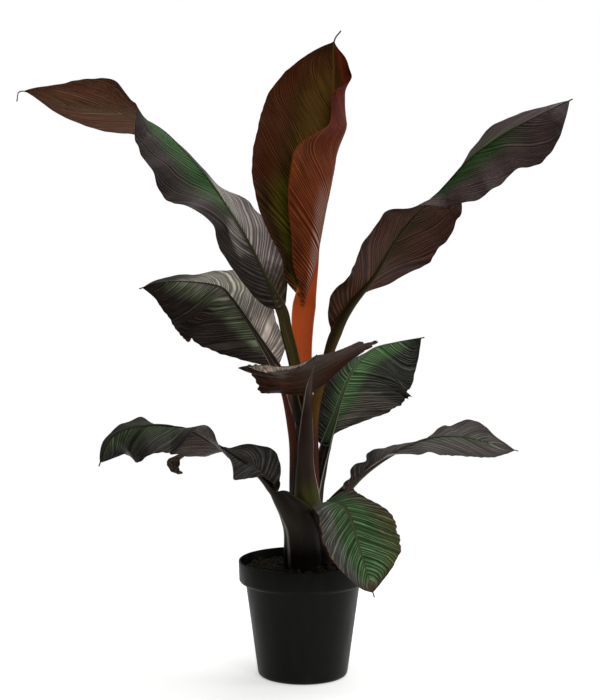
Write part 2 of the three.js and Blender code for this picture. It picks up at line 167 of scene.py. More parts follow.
sky = bpy.data.worlds.new("white_studio")
sky.use_nodes = True
add, calc, times, ease = wire(sky.node_tree)
towards = add("ShaderNodeSeparateXYZ", {0: add("ShaderNodeTexCoord").outputs["Generated"]}).outputs
glow = calc("MAXIMUM", ease(towards[1], -0.2, 0.55, 0.05, 0.4), ease(towards[2], 0.45, 1.0, 0.0, 0.25))
glow = times(glow, ease(towards[0], -0.8, 0.3, 0.45, 1.05))
wall = add("ShaderNodeBackground", {"Color": (1, 1, 1, 1), "Strength": 1.0}).outputs[0]
room = add("ShaderNodeBackground", {"Color": (1, 1, 1, 1), "Strength": glow}).outputs[0]
from_camera = add("ShaderNodeLightPath").outputs["Is Camera Ray"]
seen = add("ShaderNodeMixShader", {0: from_camera, 1: room, 2: wall})
sky.node_tree.links.new(seen.outputs[0], sky.node_tree.nodes["World Output"].inputs["Surface"])
scene.world = sky

for lamp_name, place, size, power in SOFT_LIGHTS:
    lamp = bpy.data.objects.new(lamp_name, bpy.data.lights.new(lamp_name, "AREA"))
    lamp.data.size = size
    lamp.data.energy = power
    lamp.location = place
    lamp.rotation_euler = (LIGHTS_AIM - lamp.location).to_track_quat("-Z", "Y").to_euler()
    scene.collection.objects.link(lamp)

# Nursery pot. Injection moulded black polypropylene with an upright band round the mouth and a rounded foot.
# The floor has a ring of drain holes, and the wall carries faint scuffs and a film of dust.
POT_CORNERS = (  # radius, height and rounding, from the middle of the underside to that of the floor
    (0, 0, 0), (73, 0, 8), (93.5, 155, 3), (104, 157, 5), (105, 192, 1.1), (102.5, 192, 1.1), (101.5, 163, 3),
    (91, 154, 3), (70.5, 8, 3), (66.5, 4, 2), (0, 4, 0),
)
POT_SEGMENTS = 160
POT_DRAINS, POT_DRAIN_RADIUS, POT_DRAIN_RING = 8, 6, 52
DRILL_FOOT, DRILL_TOP, DRILL_SEGMENTS = -6, 12, 24


def rounded(corners, steps=6):
    """A section line with its corners rounded, each over less than half of its sides."""
    line = []
    for i, (r, z, radius) in enumerate(corners):
        here = np.array([r, z], float)
        if not radius:
            line.append(tuple(here))
            continue
        before, after = (np.array(corners[j][:2], float) - here for j in (i - 1, i + 1))
        start, end = (here + side * min(radius / np.linalg.norm(side), 0.49) for side in (before, after))
        for t in np.linspace(0, 1, steps + 1):
            line.append(tuple((1 - t) ** 2 * start + 2 * t * (1 - t) * here + t * t * end))
    return line


def turned_form(line, segments):
    """A closed form turned from a section line that starts and ends on the axis."""
    points, rings = [], []
    for r, z in line:
        rings.append(len(points))
        turns = segments if r > 1e-6 else 1
        points += [(r * cos(2 * pi * k / segments), r * sin(2 * pi * k / segments), z) for k in range(turns)]
    faces = []
    for a, b, (ra, _), (rb, _) in zip(rings, rings[1:], line, line[1:]):
        for k in range(segments):
            n = (k + 1) % segments
            if ra < 1e-6:
                faces.append((a, b + n, b + k))
            elif rb < 1e-6:
                faces.append((a + k, a + n, b))
            else:
                faces.append((a + k, a + n, b + n, b + k))
    return points, faces


def plain_mesh(piece):
    """Makes a piece's modifiers part of its mesh."""
    graph = bpy.context.evaluated_depsgraph_get()
    finished = piece.evaluated_get(graph)
    made = bpy.data.meshes.new_from_object(finished, preserve_all_data_layers=True, depsgraph=graph)
    piece.modifiers.clear()
    piece.data = made


plastic = new_finish("black_pot_plastic", specular=0.09)
stretched = plastic.add("ShaderNodeMapping", {"Vector": plastic.place, "Scale": (9, 9, 2.2)}).outputs[0]
scuffs = plastic.mottle(6, 5, stretched)
height = plastic.add("ShaderNodeSeparateXYZ", {0: plastic.place}).outputs[2]
dust = plastic.ease(plastic.mottle(14, 4), 0.45, 0.75)
dust = plastic.times(dust, plastic.ease(height, 0.03, 0.0, 0.15, 1))
pot_colour = plastic.blend(shade("070804"), shade("0e0f0a"), plastic.ease(scuffs, 0.4, 0.7))
pot_colour = plastic.blend(pot_colour, shade("2b2922"), plastic.times(dust, 0.3))
pot_gloss = plastic.ease(scuffs, 0.3, 0.75, 0.36, 0.5)
pot_finish = plastic.lay(pot_colour, pot_gloss, plastic.mottle(900, 2), depth=0.0002)

pot = new_piece("nursery_pot", *turned_form(rounded(POT_CORNERS), POT_SEGMENTS), [pot_finish], sharp=40)
drill_line = ((0, DRILL_FOOT), (POT_DRAIN_RADIUS, DRILL_FOOT), (POT_DRAIN_RADIUS, DRILL_TOP), (0, DRILL_TOP))
pin_points, pin_faces = turned_form(drill_line, DRILL_SEGMENTS)
drill_points, drill_faces = [], []
for hole in range(POT_DRAINS):
    turn = 2 * pi * (hole + 0.5) / POT_DRAINS
    shift = len(drill_points)
    east, north = POT_DRAIN_RING * cos(turn), POT_DRAIN_RING * sin(turn)
    drill_points += [(x + east, y + north, z) for x, y, z in pin_points]
    drill_faces += [tuple(i + shift for i in face) for face in pin_faces]
drill = new_piece("drain_drill", drill_points, drill_faces, [pot_finish])
cut = pot.modifiers.new("drain_holes", "BOOLEAN")
cut.operation, cut.object, cut.solver = "DIFFERENCE", drill, "EXACT"
plain_mesh(pot)
bpy.data.objects.remove(drill)
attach(pot, "root")
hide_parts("pot")

# Potting soil. Dark peat compost fills the pot to a finger's width below its rim and rises a little to the
# stem. Its surface is lumpy and loose.
SOIL_SECTION = ((0, 4.3), (65.2, 4.3), (69.7, 9), (90.2, 153), (100.2, 164), (100.2, 174))  # radius, height
SOIL_WALL_HEIGHT, SOIL_CROWN_HEIGHT = 176, 181
SOIL_TOP_RADIUS, SOIL_CROWN_RADIUS = 100, 46
SOIL_RINGS, SOIL_SEGMENTS = 46, 120
SOIL_LUMPS = ((21, 2.6, 3), (7, 1.9, 8), (3, 0.9, 5))  # spacing, height, layer of the noise
SOIL_SETTLING = 0.6

soil_line = list(SOIL_SECTION)
for radius in np.linspace(SOIL_TOP_RADIUS, 0, SOIL_RINGS):
    rise = np.clip((SOIL_TOP_RADIUS - radius) / (SOIL_TOP_RADIUS - SOIL_CROWN_RADIUS), 0, 1)
    soil_line.append((radius, SOIL_WALL_HEIGHT + (SOIL_CROWN_HEIGHT - SOIL_WALL_HEIGHT) * rise))
soil_points, soil_faces = turned_form(soil_line, SOIL_SEGMENTS)
lumpy = []
for x, y, z in soil_points:
    if z > SOIL_WALL_HEIGHT - 1:
        lumps = sum(noise.noise(Vector((x, y, layer)) / wide) * tall for wide, tall, layer in SOIL_LUMPS)
        z += lumps - SOIL_SETTLING
    lumpy.append((x, y, z))

peat = new_finish("peat_compost", specular=0.15)
grain = peat.mottle(160, 5)
peat_colour = peat.blend(shade("0e0c08"), shade("231c13"), peat.ease(grain, 0.4, 0.68))
flecks = peat.times(peat.ease(peat.mottle(420, 2), 0.62, 0.7), 0.6)
peat_colour = peat.blend(peat_colour, shade("3a3322"), flecks)
peat_finish = peat.lay(peat_colour, peat.ease(grain, 0.3, 0.7, 0.82, 0.97), grain, depth=0.002)
soil = new_piece("potting_soil", lumpy, soil_faces, [peat_finish], sharp=70)
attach(soil, "root")
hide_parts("soil")

# Loose crumbs of peat and bark on the soil. They are scattered over its open top by a seeded rule.
# Most are a few millimetres across, and a few are much larger.
CRUMBS_ABOVE = 0.172  # metres


def rough_finish(name, specular, scale, dark, light, gloss, depth):
    """A dull finish mottled with two colours, whose grain is its relief too."""
    face = new_finish(name, specular)
    grain = face.mottle(scale, 4)
    colour = face.blend(shade(dark), shade(light), face.ease(grain, 0.35, 0.7))
    return face.lay(colour, face.ease(grain, 0.3, 0.7, *gloss), grain, depth)


def new_tree(name, **inputs):
    """A geometry tree with named inputs, the identifier of each, and the tree's two ends."""
    tree = bpy.data.node_groups.new(name, "GeometryNodeTree")
    tree.interface.new_socket("Geometry", in_out="INPUT", socket_type="NodeSocketGeometry")
    keys = {}
    for label, kind in inputs.items():
        socket = tree.interface.new_socket(label, in_out="INPUT", socket_type=f"NodeSocket{kind}")
        keys[label] = socket.identifier
    tree.interface.new_socket("Geometry", in_out="OUTPUT", socket_type="NodeSocketGeometry")
    return tree, keys, tree.nodes.new("NodeGroupInput").outputs, tree.nodes.new("NodeGroupOutput").inputs


def run_tree(piece, tree, keys, **values):
    """Runs a geometry tree on a piece and keeps its result as a plain mesh."""
    work = piece.modifiers.new(tree.name, "NODES")
    work.node_group = tree
    for label, value in values.items():
        work[keys[label]] = value
    plain_mesh(piece)


scatter, scatter_keys, given, result = new_tree(
    "crumb_scatter", density="Float", smallest="Float", largest="Float", reach="Float", seed="Int"
)
add, calc, times, _ = wire(scatter)
spot = add("ShaderNodeSeparateXYZ", {0: add("GeometryNodeInputPosition").outputs[0]}).outputs
away = calc("SQRT", calc("ADD", times(spot[0], spot[0]), times(spot[1], spot[1])))
open_top = times(calc("LESS_THAN", away, given["reach"]), calc("GREATER_THAN", spot[2], CRUMBS_ABOVE))
dots = add(
    "GeometryNodeDistributePointsOnFaces",
    {"Mesh": given["Geometry"], "Selection": open_top, "Density": given["density"], "Seed": given["seed"]},
)
lump = add("GeometryNodeMeshIcoSphere", {"Radius": 1.0, "Subdivisions": 1})
squashed = add(
    "FunctionNodeRandomValue", {0: (0.6, 0.6, 0.35), 1: (1.5, 1.0, 0.9), "Seed": 3}, data_type="FLOAT_VECTOR"
)
spread = add("FunctionNodeRandomValue", {2: 0.0, 3: 1.0, "Seed": 5}, data_type="FLOAT")
rare = calc("POWER", spread.outputs[1], 3.0)
girth = calc("ADD", given["smallest"], times(rare, calc("SUBTRACT", given["largest"], given["smallest"])))
sized = add("ShaderNodeVectorMath", {0: squashed.outputs[0], "Scale": girth}, operation="SCALE")
tumble = add(
    "FunctionNodeRandomValue", {0: (0, 0, 0), 1: (6.28, 6.28, 6.28), "Seed": 9}, data_type="FLOAT_VECTOR"
)
strewn = add(
    "GeometryNodeInstanceOnPoints",
    {"Points": dots.outputs["Points"], "Instance": lump.outputs["Mesh"], "Rotation": tumble.outputs[0],
     "Scale": sized.outputs[0]},
)
loose = add("GeometryNodeRealizeInstances", {"Geometry": strewn.outputs[0]})
crumb_finish = rough_finish("peat_crumbs", 0.15, 240, "100d08", "30281a", (0.8, 0.95), 0.001)
painted = add("GeometryNodeSetMaterial", {"Geometry": loose.outputs[0], "Material": crumb_finish})
scatter.links.new(painted.outputs[0], result["Geometry"])

crumbs = bpy.data.objects.new("soil_crumbs", soil.data.copy())
scene.collection.objects.link(crumbs)
run_tree(crumbs, scatter, scatter_keys, density=52000.0, smallest=0.0010, largest=0.0058, reach=0.097, seed=4)
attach(crumbs, "root")

# False stem. A column of tightly rolled leaf sheaths with a slight flare at the soil, dark and faintly waxy.
# Each sheath's free edge shows as a long shallow step that climbs round the column.
STEM_FOOT, STEM_SINK = 181.3, 3
STEM_PROFILE = ((0, 33), (14, 29.5), (50, 26), (110, 24), (180, 22.5), (232, 20), (262, 13))  # height, radius
STEM_LEAN = (0.022, 0.025)
SHEATH_EDGES = (  # where round the stem in degrees, its climb in degrees for each millimetre, the step
    (20, 0.30, 1.7), (95, -0.22, 1.4), (168, 0.26, 1.8), (236, -0.30, 1.5), (310, 0.20, 1.6),
)
SHEATH_FALL, SHEATH_RISE = 38, 2.5  # degrees over which a step sinks back and rises
STEM_ROWS, STEM_COLUMNS = 90, 120

sheath = new_finish("stem_sheath", specular=0.2)
round_stem, up_stem = sheath.marked("around"), sheath.marked("along")
fibres = sheath.mottle(1.0, 4, sheath.at(sheath.times(round_stem, 46), sheath.times(up_stem, 4)))
blotch = sheath.mottle(34, 4)
stem_colour = sheath.blend(shade("1d1a15"), shade("34301f"), sheath.ease(fibres, 0.35, 0.7))
stem_colour = sheath.blend(stem_colour, shade("41201a"), sheath.times(sheath.ease(blotch, 0.5, 0.75), 0.5))
stem_colour = sheath.blend(stem_colour, shade("15130f"), sheath.ease(up_stem, 0.25, 0.0))
stem_finish = sheath.lay(stem_colour, sheath.ease(fibres, 0.3, 0.7, 0.42, 0.62), fibres, depth=0.0009)

stem_points, stem_along, stem_around = [], [], []
heights, radii = np.array(STEM_PROFILE, float).T
for row in range(STEM_ROWS + 1):
    rise = heights[-1] * row / STEM_ROWS
    for column in range(STEM_COLUMNS):
        turn = 360 * column / STEM_COLUMNS
        east, north = cos(radians(turn)), sin(radians(turn))
        girth = np.interp(rise, heights, radii)
        for start, climb, step in SHEATH_EDGES:
            past = (turn - start - climb * rise) % 360
            girth += step * (np.exp(-past / SHEATH_FALL) - 0.3) * (1 - np.exp(-past / SHEATH_RISE))
        girth += 0.35 * sin(radians(turn * 23) + rise / 60) + 0.25 * sin(radians(turn * 41) - rise / 35)
        girth += 1.1 * noise.noise(Vector((east * 1.6, north * 1.6, rise / 45)))
        foot = STEM_FOOT if row else STEM_FOOT - STEM_SINK
        x, y = girth * east + STEM_LEAN[0] * rise, girth * north + STEM_LEAN[1] * rise
        stem_points.append((x, y, foot + rise))
        stem_along.append(rise / heights[-1])
        stem_around.append(turn / 360)


def tube_faces(rows, columns):
    """The faces of a tube of rings with closed ends, for rings that run clockwise seen from its end."""
    faces = []
    for row in range(rows):
        low, high = row * columns, (row + 1) * columns
        for k in range(columns):
            n = (k + 1) % columns
            faces.append((low + n, low + k, high + k, high + n))
    return faces + [tuple(range(columns)), tuple(rows * columns + k for k in range(columns))[::-1]]


def mark(piece, name, values):
    """Writes one number for each point of a piece, for its finish to follow."""
    layer = piece.data.attributes.new(name, "FLOAT", "POINT")
    layer.data.foreach_set("value", np.asarray(values, np.float32))


stem_faces = [face[::-1] for face in tube_faces(STEM_ROWS, STEM_COLUMNS)]
stem = new_piece("false_stem", stem_points, stem_faces, [stem_finish], sharp=60)
mark(stem, "along", stem_along)
mark(stem, "around", stem_around)
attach(stem, "root")
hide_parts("stem")

# Leaves. Each has a fleshy stalk, channelled above, that runs on as the midrib of a thin blade with pleats
# along its side veins. All nine grow by one rule, along a smooth line from inside the stem to the tip.
LEAF_STEPS, SOLID_STEPS = 480, 160  # of the centre line, here and in the solids
NO_CURL = (0, 0, 1)
CURL_STEPS = 16
BLADE_ROWS, BLADE_COLUMNS = 230, 46
BLADE_THICKNESS = (1.3, 0.5)  # at the rib and at the margin
RIB_ROWS, RIB_BACK, RIB_TOP = 170, 22, 12
RIB_WRAP = 100  # degrees from the keel to each lip of the channel
RIB_THINNEST = 0.85
LEAF_SHEEN = (1.0, 0.9, 0.82, 1.0)
LEAF_HABIT = dict(  # of a leaf that says nothing else
    facing=(0, -1, 0), blade_from=3, nicks=(), ruffle=1.5, ragged=0.012, foot_cover=0.8, veins=44, sweep=0.9,
    pleat=0.35, tail=6, rib_drop=(0.4, 0.25), blade_slot="leaf", stalk_slot="leaf_stalk",
)


def leaf_line(stations, facing):
    """A leaf's centre line as a smooth curve through its stations, with a facing carried along untwisted."""
    spots = np.array([station[:3] for station in stations], float)
    spots = np.vstack([2 * spots[0] - spots[1], spots, 2 * spots[-1] - spots[-2]])
    station = np.linspace(0, len(stations) - 1, LEAF_STEPS + 1)
    low = np.minimum(station.astype(int), len(stations) - 2)
    t = (station - low)[:, None]
    p0, p1, p2, p3 = (spots[low + k] for k in range(4))
    m1, m2 = (p2 - p0) / 2, (p3 - p1) / 2
    points = (2 * t**3 - 3 * t**2 + 1) * p1 + (t**3 - 2 * t**2 + t) * m1
    points = points + (3 * t**2 - 2 * t**3) * p2 + (t**3 - t**2) * m2
    tangents = 6 * (t**2 - t) * (p1 - p2) + (3 * t**2 - 4 * t + 1) * m1 + (3 * t**2 - 2 * t) * m2
    tangents /= np.linalg.norm(tangents, axis=1)[:, None]
    faces, face = [], np.array(facing, float)
    for tangent in tangents:
        face = face - face.dot(tangent) * tangent
        face = face / np.linalg.norm(face)
        faces.append(face)
    length = np.concatenate([[0], np.cumsum(np.linalg.norm(np.diff(points, axis=0), axis=1))])
    return SimpleNamespace(
        point=points, tangent=tangents, facing=np.array(faces), length=length, station=station
    )


def frame_at(line, length):
    """Point, facing, sideways direction and station at lengths along a centre line."""

    def between(values):
        return np.stack([np.interp(length, line.length, values[:, k]) for k in range(3)], -1)

    point, tangent, facing = between(line.point), between(line.tangent), between(line.facing)
    tangent /= np.linalg.norm(tangent, axis=-1, keepdims=True)
    facing -= (facing * tangent).sum(-1, keepdims=True) * tangent
    facing /= np.linalg.norm(facing, axis=-1, keepdims=True)
    return point, facing, np.cross(tangent, facing), np.interp(length, line.length, line.station)


def smooth_between(values, station):
    """Values given at whole stations, eased from each to the next."""
    values = np.asarray(values, float)
    low = np.minimum(np.floor(station).astype(int), len(values) - 2)
    share = np.clip(station - low, 0, 1)
    share = share * share * (3 - 2 * share)
    return values[low] * (1 - share) + values[low + 1] * share


def turned(facing, side, angle):
    """The directions across and out of the upper face, at an angle turned about the centre line."""
    c, s = np.cos(angle)[..., None], np.sin(angle)[..., None]
    return side * c - facing * s, facing * c + side * s


def blade_half(leaf, right, share, blade_length):
    """Half width of a blade on one side: round at its foot, pointed, ended by a thread, with its nicks."""
    proper = np.minimum(share / (1 - leaf.tail / blade_length), 1)
    foot = np.clip(1 - (1 - np.minimum(proper / leaf.widest, 1)) ** 2, 0, 1) ** leaf.foot_power
    tip = 1 - np.clip((proper - leaf.widest) / (1 - leaf.widest), 0, 1) ** leaf.tip_power
    half = np.where(right, leaf.half_width[1], leaf.half_width[0]) * np.where(proper < leaf.widest, foot, tip)
    for on_right, place, depth, width in leaf.nicks:
        half = half * (1 - depth * np.exp(-(((share - place) / width) ** 2)) * (right == bool(on_right)))
    half = half * (1 + leaf.ragged * (np.sin(61 * share + 2 * right) + 0.8 * np.sin(143 * share + right)))
    return np.maximum(np.maximum(half, leaf.stalk_half[2] * (1 - share) * leaf.foot_cover), 0.9)


def blade_surface(leaf, line, start, share, across):
    """Middle surface of a blade and the way its upper face looks, followed out from the rib with its curl."""
    blade_length = line.length[-1] - start
    point, facing, side, station = frame_at(line, start + share * blade_length)
    right, reach = across > 0, np.abs(across)
    half = blade_half(leaf, right, share, blade_length)
    columns = np.array([(*s, *NO_CURL[len(s) - 5 :])[3:] for s in leaf.stations], float)
    values = [np.radians(smooth_between(columns[:, k], station)) for k in range(4)]
    roll, curl = np.where(right, values[1], values[0]), np.where(right, values[3], values[2])
    early = smooth_between(columns[:, 4], station)
    for i in range(CURL_STEPS):
        place = reach * (i + 0.5) / CURL_STEPS
        over, out = turned(facing, side, roll + curl * (1 - (1 - place) ** early))
        point = point + over * (np.sign(across) * half * reach / CURL_STEPS)[..., None]
    depth, count = leaf.wave
    swell = depth * reach**2 * np.sin(2 * pi * (count * share + 0.3 * right))
    swell = swell + leaf.ruffle * reach**3 * np.sin(2 * pi * (2.7 * count * share + 0.17 + 0.4 * right))
    return point + out * (swell * np.sin(pi * share))[..., None], out


pleats, pleat_keys, given, result = new_tree(
    "side_vein_pleats", depth="Float", fine_depth="Float", upper="Material", under="Material"
)
add, calc, times, _ = wire(pleats)


def stored(name, kind="FLOAT"):
    """A mark that the blade carries, as the pleats' tree reads it."""
    return add("GeometryNodeInputNamedAttribute", {"Name": name}, data_type=kind).outputs["Attribute"]


wave_along = calc("SINE", times(stored("vein"), 2 * pi))
fine_along = calc("SINE", times(stored("vein"), 6 * pi))
pleat_height = calc("ADD", times(wave_along, given["depth"]), times(fine_along, given["fine_depth"]))
lift_by = {0: stored("lift", "FLOAT_VECTOR"), "Scale": pleat_height}
lifted = add("ShaderNodeVectorMath", lift_by, operation="SCALE")
moved = add("GeometryNodeSetPosition", {"Geometry": given["Geometry"], "Offset": lifted.outputs[0]})
whole = add("GeometryNodeRealizeInstances", {"Geometry": moved.outputs[0]})
above = add("GeometryNodeSetMaterial", {"Geometry": whole.outputs[0], "Material": given["upper"]})
below = add(
    "GeometryNodeSetMaterial",
    {"Geometry": above.outputs[0], "Selection": stored("under_face", "BOOLEAN"), "Material": given["under"]},
)
pleats.links.new(below.outputs[0], result["Geometry"])


def grow_blade(leaf, line, start):
    """The thin sheet of a leaf. Its rows follow the side veins, which sweep forward from rib to margin."""
    vein = np.linspace(0, 1, BLADE_ROWS + 1)[:, None]
    across = np.linspace(-1, 1, BLADE_COLUMNS + 1)[None, :]
    reach = np.abs(across)
    share = 1 - (1 - vein) ** (1 + leaf.sweep * (0.55 * reach + 0.45 * reach**2))
    across = across + 0 * share
    reach = np.abs(across)
    middle, out = blade_surface(leaf, line, start, share, across)
    lengthways = np.gradient(middle, axis=0)
    normal = np.cross(np.gradient(middle, axis=1), lengthways)
    size = np.linalg.norm(normal, axis=-1, keepdims=True)
    normal = np.where(size > 1e-9, normal / np.maximum(size, 1e-9), out)
    by_rib, by_margin = BLADE_THICKNESS
    skin = normal * (by_rib - (by_rib - by_margin) * reach)[..., None] / 2
    points = np.concatenate([(middle + skin).reshape(-1, 3), (middle - skin).reshape(-1, 3)])
    rows, columns = BLADE_ROWS + 1, BLADE_COLUMNS + 1
    grid = np.arange(rows * columns).reshape(rows, columns)
    a, b, c, d = grid[:-1, :-1], grid[:-1, 1:], grid[1:, 1:], grid[1:, :-1]
    upper = np.stack([a, b, c, d], -1).reshape(-1, 4)
    under = upper[:, ::-1] + rows * columns
    edge = np.concatenate([grid[0, :], grid[1:, -1], grid[-1, -2::-1], grid[-2:0:-1, 0]])
    following = np.roll(edge, -1)
    rim = np.stack([following, edge, edge + rows * columns, following + rows * columns], -1)
    faces = np.concatenate([upper, under, rim])
    blade = new_piece(f"{leaf.name}_leaf_blade", points, faces.tolist(), sharp=60)
    uneven = 0.5 * np.sin(21 * vein) + 0.35 * np.sin(48 * vein + 1) + 0.25 * np.sin(83 * vein + 2)
    counted = vein * leaf.veins + uneven + 0 * share
    for key, values in (("along", share), ("across", across), ("vein", counted)):
        mark(blade, key, np.tile(values.ravel(), 2))
    fade = np.clip((reach - 0.04) / 0.2, 0, 1) * (1 - 0.7 * np.clip((reach - 0.5) / 0.5, 0, 1))
    fade = fade * np.sin(pi * vein) ** 0.4
    fade = fade * (0.62 + 0.22 * np.sin(33 * vein + 2 * (across > 0)) + 0.16 * np.sin(57 * vein + 1))
    width = np.clip(blade_half(leaf, across > 0, share, line.length[-1] - start) / 40, 0, 1)
    pull = (normal * (fade * width)[..., None]).reshape(-1)
    lift = blade.data.attributes.new("lift", "FLOAT_VECTOR", "POINT")
    lift.data.foreach_set("vector", np.tile(pull, 2).astype(np.float32))
    below = blade.data.attributes.new("under_face", "BOOLEAN", "FACE")
    below.data.foreach_set("value", np.arange(len(faces)) // len(upper) == 1)
    run_tree(
        blade, pleats, pleat_keys, depth=leaf.pleat / 1000, fine_depth=leaf.pleat / 6000, upper=leaf.upper,
        under=leaf.under,
    )
    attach(blade, "root")
    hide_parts(f"{leaf.name}_blade")
    return blade


def grow_rib(leaf, line, start):
    """A leaf's stalk and midrib as one tapering limb, round below and channelled above, to its wiry tip."""
    length = np.linspace(0, line.length[-1], RIB_ROWS + 1)
    point, facing, side, station = frame_at(line, length)
    mean = [(s[3] + s[4]) / 2 for s in leaf.stations]
    over, out = turned(facing, side, np.radians(smooth_between(mean, station)))
    on_stalk = np.clip(length / start, 0, 1)
    share = np.clip((length - start) / (line.length[-1] - start), 0, 1)
    drop, dropped_by = leaf.rib_drop
    half = smooth_between(leaf.stalk_half, on_stalk * 2) * (0.1 + 0.9 * (1 - share) ** 1.6)
    half = np.maximum(half * (1 - drop * np.clip(share / dropped_by, 0, 1)), RIB_THINNEST)
    flat = np.clip(share * 20, 0, 1)
    wrap = np.radians(np.linspace(-RIB_WRAP, RIB_WRAP, RIB_BACK))
    inner = np.linspace(1, -1, RIB_TOP + 2)[1:-1]
    round_x = np.sin(wrap) * (1 + 0.012 * np.sin(9 * wrap))
    section_x = np.concatenate([round_x, inner * sin(radians(RIB_WRAP))])
    groove = (0.37 * (1 - flat) + 0.16 * flat)[:, None] * (1 - inner**2) ** 0.7
    round_z = np.tile(-np.cos(wrap), (RIB_ROWS + 1, 1))
    section_z = np.concatenate([round_z, -cos(radians(RIB_WRAP)) - groove], axis=1)
    section_z = section_z + (flat * (0.7 / half + 0.02))[:, None]
    sideways = over[:, None] * (section_x * half[:, None])[..., None]
    outwards = out[:, None] * (section_z * half[:, None])[..., None]
    points = (point[:, None] + sideways + outwards).reshape(-1, 3)
    around = np.concatenate([wrap / radians(RIB_WRAP), 1.4 * np.sign(inner)])
    columns = len(section_x)
    faces = tube_faces(RIB_ROWS, columns)
    rib = new_piece(f"{leaf.name}_leaf_rib", points, faces, [leaf.stalk], sharp=55)
    mark(rib, "along", np.repeat(length / line.length[-1], columns))
    mark(rib, "around", np.tile(around, RIB_ROWS + 1))
    mark(rib, "on_blade", np.repeat(share, columns))
    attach(rib, "root")
    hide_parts(f"{leaf.name}_stalk")


def blade_finish(
    name, far, near, pale, edge, near_reach=0.5, near_span=(0.05, 0.9), pale_share=0.12, fine=1.4, zones=(),
    zone_softness=0.07, hatch=None, specular=0.12,
):
    """A leaf's face: a colour by the rib and one further out, pale lines along its veins and a tinted margin.
    The colour is also scaled lighter on the vein lines and darker between them, as painted highlight and
    painted shade of the pleats.
    Zones of other colours lie between two places across it, from -1 to 1, and two along it, each with its
    share. A hatched zone takes its colour on the vein lines only."""
    face = new_finish(name, specular)
    calc, times, ease, blend = face.calc, face.times, face.ease, face.blend
    face.shader.inputs["Specular Tint"].default_value = LEAF_SHEEN
    along, sideways, vein = face.marked("along"), face.marked("across"), face.marked("vein")
    across = calc("ABSOLUTE", sideways)
    cloud = face.mottle(26, 4)
    streak = face.mottle(1.0, 3, face.at(times(vein, 1.7), times(sideways, 3.0)))

    def within(value, low, high, soft):
        return times(ease(value, low - soft, low + soft), ease(value, high + soft, high - soft))

    stray = times(calc("SUBTRACT", streak, 0.5), 0.5)
    by_rib = times(ease(calc("ADD", across, stray), near_reach, 0.03), within(along, *near_span, 0.1))
    colour = blend(shade(far), shade(near), by_rib)
    sway = calc("ADD", sideways, times(stray, 0.5))
    drift = calc("ADD", along, times(calc("SUBTRACT", cloud, 0.5), 0.2))
    for zone_colour, sides, lengths, share in zones:
        spot = times(within(sway, *sides, zone_softness), within(drift, *lengths, zone_softness * 0.6))
        colour = blend(colour, shade(zone_colour), times(spot, share))
    swing = ease(calc("SINE", times(vein, 2 * pi * fine)), -1, 1)
    hair = ease(calc("SINE", times(vein, 8 * pi)), -1, 1)
    lines = calc("ADD", times(calc("POWER", swing, 5.0), 0.75), times(hair, 0.25))
    lines = times(lines, times(ease(streak, 0.3, 0.7, 0.35, 1.0), ease(across, 1.0, 0.4, 0.55, 1.0)))
    lines = times(lines, ease(along, 0.98, 0.86, 0.2, 1.0))
    # Painted light and shade: the colour is scaled up on the vein lines as a painted highlight and down
    # between them as painted shade, and a little darker in mottled patches.
    painted_light_and_shade = calc("SUBTRACT", calc("ADD", 0.4, times(lines, 2.8)), ease(cloud, 0.4, 0.7, 0.0, 0.12))
    colour = face.add("ShaderNodeVectorMath", {0: colour, "Scale": painted_light_and_shade}, operation="SCALE").outputs[0]
    colour = blend(colour, shade(pale), times(lines, pale_share))
    if hatch:
        hatch_colour, sides, lengths = hatch
        spot = times(within(sideways, *sides, 0.08), within(along, *lengths, 0.08))
        colour = blend(colour, shade(hatch_colour), times(spot, calc("POWER", swing, 2.0)))
    colour = blend(colour, shade(edge), ease(across, 0.965, 0.99))
    relief = calc("ADD", times(hair, 0.5), times(face.mottle(420, 2), 0.35))
    return face.lay(colour, ease(streak, 0.3, 0.7, 0.36, 0.52), relief, depth=0.0004)


def stalk_finish(
    name, base, keel, margin, rib, specular=0.15, foot=None, back=None, foot_reach=0.14, toe=None, lines=(),
    dark_and_shade_bands=(), rib_from=(0.0, 0.06),
):
    """A stalk's skin: fine fibres along it, a pale line on each lip of its channel, and the rib's colours
    above and below the blade. Its back may have pale lines from some way up, and be darker between places
    round it, in part as painted shade."""
    skin = new_finish(name, specular)
    calc, times, ease, blend = skin.calc, skin.times, skin.ease, skin.blend
    skin.shader.inputs["Specular Tint"].default_value = LEAF_SHEEN
    along, round_back, on_blade = skin.marked("along"), skin.marked("around"), skin.marked("on_blade")
    around = calc("ABSOLUTE", round_back)
    fibre = skin.mottle(1.0, 4, skin.at(times(round_back, 14), times(along, 9)))
    colour = blend(shade(base), shade(keel), ease(calc("ADD", around, times(fibre, 0.5)), 0.85, 0.2))
    colour = blend(colour, shade(foot or base), ease(along, foot_reach, foot_reach * 0.3))
    if toe:
        colour = blend(colour, shade(toe), ease(along, foot_reach * 0.5, foot_reach * 0.25))
    rib_colour = blend(shade(back or rib), shade(rib), ease(around, 0.85, 1.0))
    colour = blend(colour, rib_colour, ease(on_blade, *rib_from))
    lip = times(ease(around, 0.88, 0.97), ease(around, 1.35, 1.1))
    lip = times(lip, ease(along, 0.97, 0.85))
    # Bands round the stalk made darker, in part as painted shade.
    for low, high, soft in dark_and_shade_bands:
        dark = times(ease(round_back, low - soft, low + soft), ease(round_back, high + soft, high - soft))
        colour = blend(colour, shade("0c0a08"), times(dark, 0.6))
    for place, line_colour, start in lines:
        off = calc("ABSOLUTE", calc("SUBTRACT", round_back, place))
        drawn = times(ease(off, 0.09, 0.03), ease(along, start - 0.04, start + 0.06))
        colour = blend(colour, shade(line_colour), times(drawn, 0.8))
    colour = blend(colour, shade(margin), times(lip, 0.8))
    colour = blend(colour, shade("0e0907"), times(ease(fibre, 0.5, 0.8), 0.2))
    return skin.lay(colour, ease(fibre, 0.3, 0.7, 0.36, 0.52), fibre)


